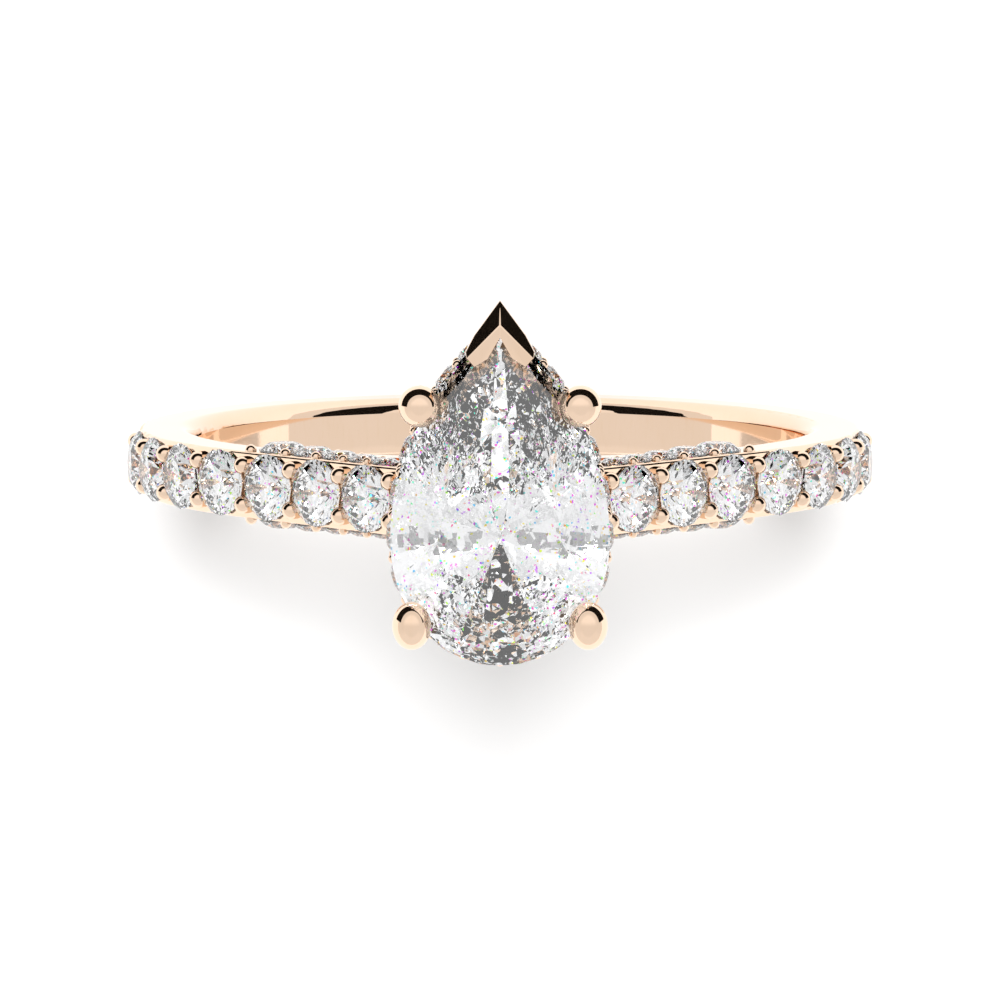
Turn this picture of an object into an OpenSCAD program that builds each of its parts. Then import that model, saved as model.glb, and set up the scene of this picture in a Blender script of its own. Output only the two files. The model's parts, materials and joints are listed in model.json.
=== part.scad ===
// Pear-cut engagement ring with cathedral shoulders, a hidden halo and pave on three sides.
// The finger bore runs along Y about the origin, the head points up +Z and the stone's tip to +Y.

/* [Finger] */
// Inner diameter of the ring
finger_d = 16.5; // [15:0.1:21]

/* [Shank] */
// Width of the band along the finger
band_w = 1.7; // [1.7:0.1:2.4]
// Thickness of the band, bore to outer face
shank_t = 1.45; // [1.4:0.05:2]
// Thickness of the band where it passes under the head
bridge_t = 1; // [0.95:0.05:1.3]
// Rounding of the comfort-fit inner edges
comfort_r = 0.4; // [0.2:0.05:0.5]
// Rounding of the outer edges
edge_r = 0.1; // [0.05:0.05:0.3]

/* [Shoulders] */
// Angle from the top of the ring where the shoulders leave the circle
shoulder_a = 45; // [42:1:48]
// Thickness of a shoulder where it meets the head
shoulder_end_t = 1; // [0.8:0.05:1.4]

/* [Band stones] */
// Diameter of the round stones along the top of the band
band_stone_d = 1.7; // [1.3:0.05:1.7]
// Gap between neighbouring band stones
band_gap = 0.1; // [0.08:0.02:0.3]
// Distance from the point where the shoulder leaves the circle down to the nearest stone's middle
row_shift = 0.34; // [0:0.02:0.8]
// Height of the band stones' girdles above the band's outer face
band_lift = 0.06; // [0:0.01:0.08]
// Stones on each side that sit on the round part of the shank
shank_stones = 4; // [2:1:4]
// Stones on each side that sit on the straight shoulder
shoulder_stones = 3; // [2:1:3]
// Diameter of the prongs between the band stones
band_prong_d = 0.46; // [0.3:0.02:0.5]
// Distance of each prong from the band's middle line
prong_y = 0.5; // [0.4:0.02:0.56]

/* [Side stones] */
// Diameter of the first and largest stone on a shoulder's side face
side_stone_d = 1.25; // [1:0.05:1.25]
// Size of each side stone as a share of the one before it
side_taper = 0.865; // [0.8:0.005:0.9]
// Number of stones in each side row
side_stones = 5; // [3:1:5]
// Gap between neighbouring side stones
side_gap = 0.06; // [0.05:0.01:0.12]
// Metal left between a side stone and the shoulder's top edge
side_rim = 0.07; // [0.05:0.01:0.12]
// Diameter of the prongs beside the first side stone
side_prong_d = 0.3; // [0.2:0.02:0.34]

/* [Centre stone] */
// Length of the pear-cut stone, round end to tip
centre_l = 8.25; // [7.5:0.05:9]
// Width of the pear-cut stone
centre_w = 5.3; // [4.9:0.05:5.8]
// Distance from the round end to the widest line
belly_l = 3.03; // [2.6:0.05:3.4]
// Height of the girdle above the finger bore
girdle_h = 4.5; // [4.4:0.05:5.5]
// How far the middle of the stone sits towards its tip
head_shift = 0.33; // [0:0.05:0.5]

/* [Head] */
// Diameter of the four claw wires
claw_d = 0.8; // [0.7:0.05:0.9]
// Diameter of the rounded claw tips
claw_tip_d = 1.02; // [0.9:0.02:1.1]
// Direction of the upper claws, seen from the culet
claw_upper_a = 59.5; // [50:0.5:65]
// Direction of the lower claws, seen from the culet
claw_lower_a = -44; // [-55:1:-35]
// Diameter of the wire that carries the V-prong
v_post_d = 0.9; // [0.8:0.05:1]
// Reach of each leg of the V-prong, as an angle seen from the culet
v_leg_a = 10.5; // [9:0.5:16]
// Width of each leg of the V-prong
v_leg_w = 0.62; // [0.5:0.02:0.7]
// Height of the base rail and of the lower gallery rail
rail_h = 0.6; // [0.5:0.05:0.7]

/* [Hidden halo] */
// Diameter of the halo stones
halo_stone_d = 0.8; // [0.7:0.02:0.84]
// Smallest gap between neighbouring halo stones
halo_gap = 0.12; // [0.08:0.02:0.3]
// Diameter of the halo's grains
halo_grain_d = 0.26; // [0.2:0.02:0.3]
// Height of the halo gallery
gallery_h = 1.02; // [1:0.02:1.2]

/* [Fits] */
// Gap between a stone and its seat
seat_gap = 0.01; // [0.005:0.005:0.03]

/* [Hidden] */
$fn = 48;
SIDES = ["left", "right"];
FACES = ["front", "back"];
GOLD = [0.93, 0.72, 0.6];
DIAMOND = [0.9, 0.94, 0.97];

// Brilliant proportions as shares of the stone's width
TABLE = 0.57;
CROWN = 0.145;
GIRDLE = 0.03;
PAVILION = 0.43;
STAR = 0.79;
LOWER_HALF = 0.22;
MAINS = 8;

bore_r = finger_d / 2;
outer_r = bore_r + shank_t;
bridge_r = bore_r + bridge_t;
half_w = band_w / 2;

band_pitch = band_stone_d + band_gap;
prong_rise = 0.2;
prong_root = 0.35;

// A side row starts just above the point where the shoulder leaves the circle.
side_start = 0.62;
side_lift = 0.03;

pear_w = centre_w / 2;
pear_tip = centre_l - belly_l;
// The culet stands under the widest line.
culet_y = head_shift + belly_l - centre_l / 2;
girdle_z = bore_r + girdle_h;
tip_stretch = 1.3;

// The head stands on a flat on the bridge.
base_z = bore_r + 0.85;
base_grow = -1.35;
base_wall = 0.62;
rail_z = girdle_z - 2.55;
rail_grow = -0.7;
rail_wall = 0.55;
gallery_top = girdle_z - 0.25;
gallery_z = gallery_top - gallery_h;
gallery_grow = -0.05;
gallery_wall = 0.72;
shoulder_top = gallery_z - 0.05;
// The shoulders run on until their top edges are 1.2 from the middle plane.
shoulder_l = outer_r * tan(shoulder_a) - 1.2 / cos(shoulder_a);
halo_z = gallery_z + gallery_h / 2;
halo_lift = 0.03;
// How far the claw tips stand outside the girdle and above it
claw_out = 0.15;
claw_rise = 0.28;
wire_root = base_z + 0.2;
// Half the length of the flat that the base rail stands on
flat_l = pear_w + base_grow + 0.2;
// How far the V-prong's outer edge stands outside the girdle, at the tip and at a leg's end
v_out = 0.45;
v_end_out = 0.1;
v_rise = 0.75;
v_post_out = -0.15;

function side_d(i) = side_stone_d * pow(side_taper, i);
function side_s(i) = i == 0 ? side_start + side_stone_d / 2
    : side_s(i - 1) + (side_d(i - 1) + side_d(i)) / 2 + side_gap;

// Distance from the culet's axis to a pear outline in direction a. The outline is an arc on each
// side of the tip and half an ellipse at the round end; equal sizes give a circle.
function pear_r(a, w, tip, belly) =
    let (c = abs(cos(a)), s = sin(a), arc = (w * w + tip * tip) / (2 * w), m = w - arc)
    s >= 0 ? c * m + sqrt(c * c * m * m + arc * arc - m * m)
           : w * belly / sqrt(pow(belly * c, 2) + pow(w * s, 2));

// The centre stone's outline moved outwards by grow, as seen from the culet.
function outline(a, grow) =
    let (r = pear_r(a, pear_w + grow, pear_tip + grow * tip_stretch, belly_l + grow))
    [r * cos(a), culet_y + r * sin(a)];

OUTLINE_STEPS = 72;
function outline_points(grow) =
    [for (i = [0 : OUTLINE_STEPS - 1]) outline(i * 360 / OUTLINE_STEPS, grow)];

function tangent_a(a, grow) =
    let (d = outline(a + 0.5, grow) - outline(a - 0.5, grow)) atan2(d[1], d[0]);

// Length of the right half of an outline from the round end up to direction a.
WALK = 120;
function walk(grow) = [for (
    i = 0, a = -90, s = 0;
    i <= WALK;
    i = i + 1,
    s = s + norm(outline(-90 + 180 * i / WALK, grow) - outline(-90 + 180 * (i - 1) / WALK, grow)),
    a = -90 + 180 * i / WALK
) [s, a]];

// Points and faces of a brilliant-cut stone whose girdle plane is z = 0. Each half facet meets
// the girdle in `sub` steps.
function stone_points(w, tip, belly, sub, grow) =
    let (
        d = 2 * w, n = 2 * MAINS * sub, g = GIRDLE * d / 2 + grow,
        crown = CROWN * d, pav = PAVILION * d, half = 180 / MAINS,
        ww = w + grow, tt = tip + grow * tip_stretch, bb = belly + grow,
        star_z = crown * (1 - cos(half) * STAR) / (1 - TABLE),
        low_z = pav * (1 - cos(half) * LOWER_HALF)
    )
    concat(
        [for (k = [0 : MAINS - 1]) ring_point(90 + 2 * half * k, TABLE, ww, tt, bb, g + crown)],
        [for (k = [0 : MAINS - 1]) ring_point(90 + half * (2 * k + 1), STAR, ww, tt, bb, g + star_z)],
        [for (i = [0 : n - 1]) ring_point(90 + 360 * i / n, 1, ww, tt, bb, g)],
        [for (i = [0 : n - 1]) ring_point(90 + 360 * i / n, 1, ww, tt, bb, -g)],
        [for (k = [0 : MAINS - 1])
            ring_point(90 + half * (2 * k + 1), LOWER_HALF, ww, tt, bb, -g - low_z)],
        [[0, 0, -g - pav]]
    );

function ring_point(a, share, w, tip, belly, z) =
    let (r = share * pear_r(a, w, tip, belly)) [r * cos(a), r * sin(a), z];

function stone_faces(sub) =
    let (
        n = 2 * MAINS * sub, star = MAINS, top = 2 * MAINS, low = top + n, pav = low + n,
        culet = pav + MAINS, step = 2 * sub
    )
    concat(
        [[for (k = [MAINS - 1 : -1 : 0]) k]],
        [for (k = [0 : MAINS - 1]) [k, (k + 1) % MAINS, star + k]],
        [for (k = [0 : MAINS - 1]) [k, star + k, top + k * step]],
        [for (k = [0 : MAINS - 1]) [k, top + k * step, star + (k + MAINS - 1) % MAINS]],
        [for (k = [0 : MAINS - 1]) for (j = [0 : step - 1])
            [star + k, top + (k * step + j + 1) % n, top + k * step + j]],
        [for (i = [0 : n - 1]) [top + i, top + (i + 1) % n, low + (i + 1) % n]],
        [for (i = [0 : n - 1]) [top + i, low + (i + 1) % n, low + i]],
        [for (k = [0 : MAINS - 1]) for (j = [0 : step - 1])
            [pav + k, low + k * step + j, low + (k * step + j + 1) % n]],
        [for (k = [0 : MAINS - 1]) [culet, low + k * step, pav + k]],
        [for (k = [0 : MAINS - 1]) [culet, pav + (k + MAINS - 1) % MAINS, low + k * step]]
    );

module round_stone(d) {
    polyhedron(stone_points(d / 2, d / 2, d / 2, 1, 0), stone_faces(1));
}

// What a bur cuts for a round stone: the stone's envelope with the seat gap all round.
module seat(d) {
    g = GIRDLE * d / 2 + seat_gap;
    r = d / 2 + seat_gap;
    rotate_extrude() polygon([
        [0, -g - (PAVILION + 0.02) * d], [r, -g], [r, g],
        [TABLE * r, g + CROWN * d], [0, g + CROWN * d]
    ]);
}

// A prong or grain: a short wire with a domed end that stands `rise` above the seat's plane.
module grain(d, rise, root) {
    translate([0, 0, -root]) cylinder(d = d, h = root + rise - d / 4);
    translate([0, 0, rise - d / 4]) sphere(d = d);
}

// Place of band stone p on the path; prongs stand half a pitch from the stones.
function band_s(p) = p * band_pitch - row_shift;

// Places its children on the band's outer face, s up the path from the point where the shoulder
// leaves the circle. Local -X leads to the head and +Z leads outwards.
module on_path(side, s) {
    a = shoulder_a - min(s, 0) / outer_r * 180 / PI;
    mirror([side == "left" ? 1 : 0, 0, 0])
        rotate([0, a, 0])
        translate([-max(s, 0), 0, outer_r])
        children();
}

// Places its children on a shoulder's side face, s up the path and q below the top edge, with
// +Z leading out of the face.
module on_side(side, face, s, q) {
    mirror([side == "left" ? 1 : 0, 0, 0])
        rotate([0, shoulder_a, 0])
        mirror([0, face == "front" ? 1 : 0, 0])
        translate([-s, half_w, outer_r - q])
        rotate([-90, 0, 0])
        children();
}

module pear_solid(grow, z0, z1) {
    translate([0, 0, z0]) linear_extrude(z1 - z0) polygon(outline_points(grow));
}

module pear_rail(grow, wall, z0, h) {
    difference() {
        pear_solid(grow, z0, z0 + h);
        pear_solid(grow - wall, z0 - 1, z0 + h + 1);
    }
}

module corner_cut(r) {
    difference() {
        translate([-1, -1]) square(r + 1);
        translate([r, r]) circle(r);
    }
}

module band_ring() {
    rotate([90, 0, 0]) rotate_extrude($fn = 180) difference() {
        translate([bore_r - 0.1, -half_w]) square([shank_t + 0.1, band_w]);
        for (m = [0, 1]) mirror([0, m])
            translate([outer_r, -half_w]) mirror([1, 0]) corner_cut(edge_r);
    }
}

// The finger's room: a straight bore that flares over the comfort-fit edges.
module finger_room() {
    rotate([90, 0, 0]) rotate_extrude($fn = 180) {
        translate([0, -band_w]) square([bore_r, 2 * band_w]);
        for (m = [0, 1]) mirror([0, m]) translate([bore_r, -half_w]) corner_cut(comfort_r);
    }
}

// The part of the band that is cut down to the bridge's thickness under the head.
module bridge_cut() {
    reach = 2 * outer_r;
    difference() {
        rotate([90, 0, 0]) linear_extrude(2 * band_w, center = true) polygon([
            [0, 0], [-reach * sin(shoulder_a), reach * cos(shoulder_a)],
            [reach * sin(shoulder_a), reach * cos(shoulder_a)]
        ]);
        rotate([90, 0, 0]) cylinder(r = bridge_r, h = 4 * band_w, center = true, $fn = 180);
    }
}

// A shoulder's upper long edges are rounded a little less than the band's, so that the two
// roundings never meet in one shared curve.
module shoulder_bar(side) {
    on_path(side, 0) difference() {
        rotate([90, 0, 0]) linear_extrude(band_w, center = true) polygon([
            [0, 0], [-shoulder_l, 0], [-shoulder_l, -shoulder_end_t], [0, -shank_t]
        ]);
        for (m = [0, 1]) mirror([0, m, 0])
            translate([-shoulder_l - 1, -half_w, 0])
            rotate([0, 90, 0])
            linear_extrude(shoulder_l + 2)
            corner_cut(0.7 * edge_r);
    }
}

// Space for the head's rails, from one flat up.
module flat_room(h) {
    translate([-flat_l, -band_w, base_z]) cube([2 * flat_l, 2 * band_w, h]);
}

module head_room() {
    pear_solid(rail_grow, base_z - 1, girdle_z + 2);
    pear_solid(0.25, shoulder_top, girdle_z + 2);
    flat_room(rail_z - base_z);
}

module band_prongs(side) {
    for (p = [-shank_stones : shoulder_stones]) for (m = [0, 1]) mirror([0, m, 0])
        on_path(side, band_s(p + 0.5)) translate([0, prong_y, 0])
            grain(band_prong_d, prong_rise, prong_root);
}

module side_prongs(side, face) {
    for (i = [0 : side_stones - 1]) {
        d = side_prong_d * pow(side_taper, i / 2);
        s = side_s(i) - (side_d(i) + side_gap) / 2;
        on_side(side, face, s, side_rim + d / 3) grain(d, 0.1, 0.2);
        on_side(side, face, s, side_rim + side_d(i) - d / 3) grain(d, 0.1, 0.2);
    }
}

module band_seats(side) {
    for (p = [1 - shank_stones : shoulder_stones]) on_path(side, band_s(p))
        translate([0, 0, band_lift]) seat(band_stone_d);
}

module side_seats(side) {
    for (face = FACES) for (i = [0 : side_stones - 1])
        on_side(side, face, side_s(i), side_rim + side_d(i) / 2)
            translate([0, 0, side_lift]) seat(side_d(i));
}

module shank() {
    color(GOLD) difference() {
        union() {
            difference() {
                band_ring();
                bridge_cut();
            }
            difference() {
                for (side = SIDES) {
                    shoulder_bar(side);
                    band_prongs(side);
                    for (face = FACES) side_prongs(side, face);
                }
                head_room();
            }
        }
        finger_room();
        flat_room(2);
        for (side = SIDES) {
            band_seats(side);
            side_seats(side);
        }
    }
}

// A wire from the base rail up to the girdle, in direction a as seen from the culet.
module head_wire(a, d, out, rise) {
    foot = outline(a, base_grow + d / 4);
    top = outline(a, out);
    run = norm(top - foot);
    climb = girdle_z + rise - wire_root;
    translate([foot[0], foot[1], wire_root])
        rotate([0, 0, atan2(top[1] - foot[1], top[0] - foot[0])])
        rotate([0, atan2(run, climb), 0])
        cylinder(d = d, h = norm([run, climb]));
}

module centre_cut(grow) {
    translate([0, culet_y, girdle_z])
        polyhedron(stone_points(pear_w, pear_tip, belly_l, 3, grow), stone_faces(3));
}

module claw_blank(a) {
    tip = outline(a, claw_out);
    head_wire(a, claw_d, claw_out, claw_rise);
    translate([tip[0], tip[1], girdle_z + claw_rise]) sphere(d = claw_tip_d);
}

module claw(side, a) {
    color(GOLD) mirror([side == "left" ? 1 : 0, 0, 0]) difference() {
        claw_blank(a);
        centre_cut(seat_gap);
    }
}

// The V-shaped cap over the tip, drawn in plan along the stone's own edge.
module v_cap() {
    steps = 6;
    function leg_out(j) = v_out - (v_out - v_end_out) * abs(j) / steps;
    outer = [for (j = [-steps : steps]) outline(90 + v_leg_a * j / steps, leg_out(j))];
    inner = [for (j = [steps : -1 : -steps]) outline(90 + v_leg_a * j / steps, leg_out(j) - v_leg_w)];
    translate([0, 0, gallery_top])
        linear_extrude(girdle_z + v_rise - gallery_top) polygon(concat(outer, inner));
}

module v_post() {
    head_wire(90, v_post_d, v_post_out, gallery_top - girdle_z + 0.1);
}

module v_prong() {
    color(GOLD) difference() {
        union() {
            v_cap();
            v_post();
        }
        centre_cut(seat_gap);
    }
}

module head_wires() {
    for (m = [0, 1]) mirror([m, 0, 0]) {
        claw_blank(claw_upper_a);
        claw_blank(claw_lower_a);
    }
    v_post();
}

module head_base() {
    color(GOLD) difference() {
        pear_rail(base_grow, base_wall, base_z, rail_h);
        head_wires();
    }
}

module lower_gallery() {
    color(GOLD) difference() {
        pear_rail(rail_grow, rail_wall, rail_z, rail_h);
        head_wires();
    }
}

// Halo places as lengths along the right half of the gallery, one range for each stretch that
// lies between two wires.
halo_walk = walk(gallery_grow);
function walk_to(a) = lookup(a, [for (w = halo_walk) [w[1], w[0]]]);
wire_room = claw_d / 2 + halo_gap;
STRETCHES = [
    [-walk_to(claw_lower_a) + wire_room, walk_to(claw_lower_a) - wire_room],
    [walk_to(claw_lower_a) + wire_room, walk_to(claw_upper_a) - wire_room],
    [walk_to(claw_upper_a) + wire_room, walk_to(90) - wire_room]
];
function fit_count(r) = floor((r[1] - r[0] + halo_gap) / (halo_stone_d + halo_gap));
function places(r, from, n, total) = [for (i = [0 : n - 1]) r[0] + (r[1] - r[0]) * (i + from) / total];
function halo_places(r) = places(r, 0.5, fit_count(r), fit_count(r));
function grain_places(r) = places(r, 0, fit_count(r) + 1, fit_count(r));

// Places its children on the gallery's wall, at length s from the round end, with +Z outwards.
module on_gallery(s, z) {
    a = lookup(abs(s), halo_walk);
    spot = outline(a, gallery_grow);
    mirror([s < 0 ? 1 : 0, 0, 0])
        translate([spot[0], spot[1], z])
        rotate([0, 0, tangent_a(a, gallery_grow) - 90])
        rotate([0, 90, 0])
        children();
}

// Repeats its children for every place: the stretch round the belly once, the others per side.
module for_halo(z, grains) {
    for (k = [0 : len(STRETCHES) - 1]) for (m = k == 0 ? [0] : [0, 1]) mirror([m, 0, 0])
        for (s = grains ? grain_places(STRETCHES[k]) : halo_places(STRETCHES[k]))
            on_gallery(s, z) children();
}

// The gallery's pointed end is cut away in front of the V-prong's wire.
module tip_mitre() {
    translate([-v_post_d / 4, culet_y + pear_tip - v_post_d / 2, gallery_z - 1])
        cube([v_post_d / 2, v_post_d, gallery_h + 2]);
}

module halo_gallery() {
    grain_inset = halo_grain_d * 0.4;
    color(GOLD) difference() {
        union() {
            pear_rail(gallery_grow, gallery_wall, gallery_z, gallery_h);
            for (z = [gallery_z + grain_inset, gallery_top - grain_inset])
                for_halo(z, true) grain(halo_grain_d, 0.08, 0.2);
        }
        for_halo(halo_z, false) translate([0, 0, halo_lift]) seat(halo_stone_d);
        head_wires();
        v_cap();
        tip_mitre();
        centre_cut(seat_gap);
    }
}

module halo_stones() {
    color(DIAMOND) for_halo(halo_z, false) translate([0, 0, halo_lift]) round_stone(halo_stone_d);
}

module centre_stone() {
    color(DIAMOND) centre_cut(0);
}

// Band stones count down from the head.
module band_stone(side, i) {
    color(DIAMOND) on_path(side, band_s(shoulder_stones + 1 - i))
        translate([0, 0, band_lift]) round_stone(band_stone_d);
}

// Side stones count up towards the head.
module side_stone(side, face, i) {
    color(DIAMOND) on_side(side, face, side_s(i - 1), side_rim + side_d(i - 1) / 2)
        translate([0, 0, side_lift]) round_stone(side_d(i - 1));
}

band_stones = shank_stones + shoulder_stones;
function band_name(side, i) = str("band_stone_", side, "_", i);
function side_name(side, face, i) = str("side_stone_", side, "_", face, "_", i);

shank();
head_base();
lower_gallery();
halo_gallery();
claw("left", claw_upper_a);  // claw_upper_left
claw("right", claw_upper_a);  // claw_upper_right
claw("left", claw_lower_a);  // claw_lower_left
claw("right", claw_lower_a);  // claw_lower_right
v_prong();
centre_stone();
halo_stones();
for (side = SIDES) for (i = [1 : band_stones])
    band_stone(side, i);
for (side = SIDES) for (face = FACES) for (i = [1 : side_stones])
    side_stone(side, face, i);
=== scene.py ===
"""Looks of a pear-cut engagement ring: cut stones, drawn claws, polished rose gold and a studio."""

import json
import logging
import math
from dataclasses import dataclass, field
from enum import Enum
from typing import Iterable, NamedTuple, Sequence

import bpy
from mathutils import Matrix, Vector

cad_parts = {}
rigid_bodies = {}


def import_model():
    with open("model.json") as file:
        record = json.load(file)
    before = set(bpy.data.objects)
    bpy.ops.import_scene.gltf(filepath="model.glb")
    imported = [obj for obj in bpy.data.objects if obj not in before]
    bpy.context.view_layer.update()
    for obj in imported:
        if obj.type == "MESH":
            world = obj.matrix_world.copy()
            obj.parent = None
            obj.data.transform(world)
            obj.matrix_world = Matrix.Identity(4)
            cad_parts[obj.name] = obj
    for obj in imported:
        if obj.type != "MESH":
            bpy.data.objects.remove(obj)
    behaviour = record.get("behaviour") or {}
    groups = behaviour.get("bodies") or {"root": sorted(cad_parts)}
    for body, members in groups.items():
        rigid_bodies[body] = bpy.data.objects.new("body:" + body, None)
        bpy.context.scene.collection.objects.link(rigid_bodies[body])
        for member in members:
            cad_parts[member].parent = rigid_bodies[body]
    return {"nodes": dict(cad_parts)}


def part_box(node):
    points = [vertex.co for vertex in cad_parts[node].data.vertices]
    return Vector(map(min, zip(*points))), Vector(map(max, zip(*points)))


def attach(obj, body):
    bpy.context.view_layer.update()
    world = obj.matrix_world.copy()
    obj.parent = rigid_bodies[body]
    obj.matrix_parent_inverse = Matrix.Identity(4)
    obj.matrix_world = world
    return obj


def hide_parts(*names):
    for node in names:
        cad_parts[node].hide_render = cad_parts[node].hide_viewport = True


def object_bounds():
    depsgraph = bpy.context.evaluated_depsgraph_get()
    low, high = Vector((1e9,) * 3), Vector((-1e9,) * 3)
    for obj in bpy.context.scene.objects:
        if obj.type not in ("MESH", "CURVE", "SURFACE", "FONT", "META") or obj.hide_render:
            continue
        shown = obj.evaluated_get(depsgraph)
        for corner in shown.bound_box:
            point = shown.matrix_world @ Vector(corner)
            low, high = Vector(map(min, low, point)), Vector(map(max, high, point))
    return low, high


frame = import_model()
CAD_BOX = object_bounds()

MM = 0.001
LOG = logging.getLogger("ring")


class Slot(Enum):
    """Material slots of the record."""

    GOLD = "rose_gold"
    STONE = "diamond"


# ---------------------------------------------------------------- mesh tools


def deselect() -> None:
    """Leaves edit mode and deselects every object."""
    if bpy.context.object is not None and bpy.context.object.mode != "OBJECT":
        bpy.ops.object.mode_set(mode="OBJECT")
    for thing in bpy.context.view_layer.objects:
        thing.select_set(False)


def activate(piece: bpy.types.Object) -> None:
    """Selects one object alone and makes it active.

    Args:
        piece: The object to work on.
    """
    deselect()
    piece.select_set(True)
    bpy.context.view_layer.objects.active = piece


def apply_modifier(piece: bpy.types.Object, kind: str, **settings: object) -> None:
    """Adds a modifier with these settings and applies it.

    Args:
        piece: The object that gets it.
        kind: Blender's modifier type.
        **settings: The modifier's properties.
    """
    activate(piece)
    modifier = piece.modifiers.new(kind.title(), kind)
    for name, value in settings.items():
        setattr(modifier, name, value)
    bpy.ops.object.modifier_apply(modifier=modifier.name)


def carve(piece: bpy.types.Object, tool: bpy.types.Object, operation: str = "DIFFERENCE") -> None:
    """Cuts a tool out of a piece, or joins it on, and removes the tool.

    Args:
        piece: The object that is changed.
        tool: The object that is used up.
        operation: The boolean's name.
    """
    apply_modifier(piece, "BOOLEAN", object=tool, operation=operation, solver="EXACT")
    bpy.data.objects.remove(tool)


def copy_of(piece: bpy.types.Object, name: str) -> bpy.types.Object:
    """Copies an object with a mesh of its own.

    Args:
        piece: The object to copy.
        name: The copy's name.

    Returns:
        The copy, linked into the scene.
    """
    twin = piece.copy()
    twin.data = piece.data.copy()
    twin.name = name
    bpy.context.scene.collection.objects.link(twin)
    return twin


def outward(piece: bpy.types.Object, merge: float = 0.001) -> None:
    """Merges doubled points and turns every face outwards.

    Args:
        piece: The object to mend, still in millimetres.
        merge: The distance under which points become one.
    """
    activate(piece)
    bpy.ops.object.mode_set(mode="EDIT")
    bpy.ops.mesh.select_all(action="SELECT")
    bpy.ops.mesh.remove_doubles(threshold=merge)
    bpy.ops.mesh.normals_make_consistent(inside=False)
    bpy.ops.object.mode_set(mode="OBJECT")


def to_metres(piece: bpy.types.Object) -> None:
    """Brings a piece that was modelled in millimetres to its real size.

    Args:
        piece: The object to scale; its mesh takes the scale.
    """
    activate(piece)
    piece.scale = (MM, MM, MM)
    bpy.ops.object.transform_apply(location=True, rotation=True, scale=True)


def bur(stone: bpy.types.Object, growth: float = 1.004) -> bpy.types.Object:
    """Gives the tool that cuts a stone's seat: the stone, grown a little about its middle.

    Args:
        stone: The stone, in millimetres.
        growth: How much larger the tool is.

    Returns:
        The tool.
    """
    tool = copy_of(stone, "bur")
    activate(tool)
    bpy.ops.object.mode_set(mode="EDIT")
    bpy.ops.mesh.select_all(action="SELECT")
    low, high = Vector(stone.bound_box[0]), Vector(stone.bound_box[6])
    bpy.ops.transform.resize(value=(growth,) * 3, center_override=(low + high) / 2)
    bpy.ops.object.mode_set(mode="OBJECT")
    return tool


class Station(NamedTuple):
    """One ring of a drawn wire: where its centre is and how thick the wire is there."""

    centre: Vector
    radius: float


def draw_wire(name: str, stations: Sequence[Station], axis: Vector, sides: int = 24) -> bpy.types.Object:
    """Draws a round wire through stations by extruding a disc from one to the next.

    Args:
        name: The wire's name.
        stations: The rings, first to last, in millimetres.
        axis: The direction that every ring faces.
        sides: Points in a ring.

    Returns:
        The closed wire, in millimetres.
    """
    turn = axis.to_track_quat("Z", "Y").to_euler()
    first = stations[0]
    deselect()
    bpy.ops.mesh.primitive_circle_add(
        vertices=sides, radius=first.radius, fill_type="NGON", location=first.centre, rotation=turn
    )
    wire = bpy.context.object
    wire.name = name
    bpy.ops.object.transform_apply(location=True, rotation=True, scale=True)
    bpy.ops.object.mode_set(mode="EDIT")
    bpy.ops.mesh.select_all(action="SELECT")
    for last, here in zip(stations, stations[1:]):
        bpy.ops.mesh.extrude_region_move(TRANSFORM_OT_translate={"value": here.centre - last.centre})
        share = here.radius / last.radius
        bpy.ops.transform.resize(value=(share, share, share), center_override=here.centre)
    bpy.ops.object.mode_set(mode="OBJECT")
    outward(wire, 0.0001)
    return wire


class Cut(NamedTuple):
    """A flat cut: a point on it and the direction that is cut away."""

    point: Vector
    normal: Vector


def grind(piece: bpy.types.Object, cuts: Iterable[Cut]) -> None:
    """Grinds flats onto a closed blank, one bisect for each, and closes the blank again.

    Args:
        piece: The blank, in millimetres.
        cuts: The flats.
    """
    activate(piece)
    bpy.ops.object.mode_set(mode="EDIT")
    for cut in cuts:
        bpy.ops.mesh.select_all(action="SELECT")
        bpy.ops.mesh.bisect(
            plane_co=cut.point, plane_no=cut.normal, use_fill=True, clear_outer=True, threshold=1e-5
        )
    bpy.ops.object.mode_set(mode="OBJECT")


def block(name: str, low: Vector, high: Vector) -> bpy.types.Object:
    """Adds a block between two corners, as stock to be ground.

    Args:
        name: The block's name.
        low: Its lowest corner, in millimetres.
        high: Its highest corner.

    Returns:
        The block.
    """
    deselect()
    bpy.ops.mesh.primitive_cube_add(size=1, location=(low + high) / 2)
    stock = bpy.context.object
    stock.name = name
    stock.scale = high - low
    bpy.ops.object.transform_apply(location=True, rotation=True, scale=True)
    return stock


def millimetre_box(node: str) -> tuple[Vector, Vector]:
    """Gives a node's lowest and highest corner in millimetres.

    Args:
        node: The CAD node's name.

    Returns:
        The two corners.
    """
    low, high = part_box(node)
    return low / MM, high / MM


# ------------------------------------------------------------------ finishes


Socket = bpy.types.NodeSocket
Colour = Triple = tuple[float, float, float]
Span = tuple[float, float]


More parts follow.
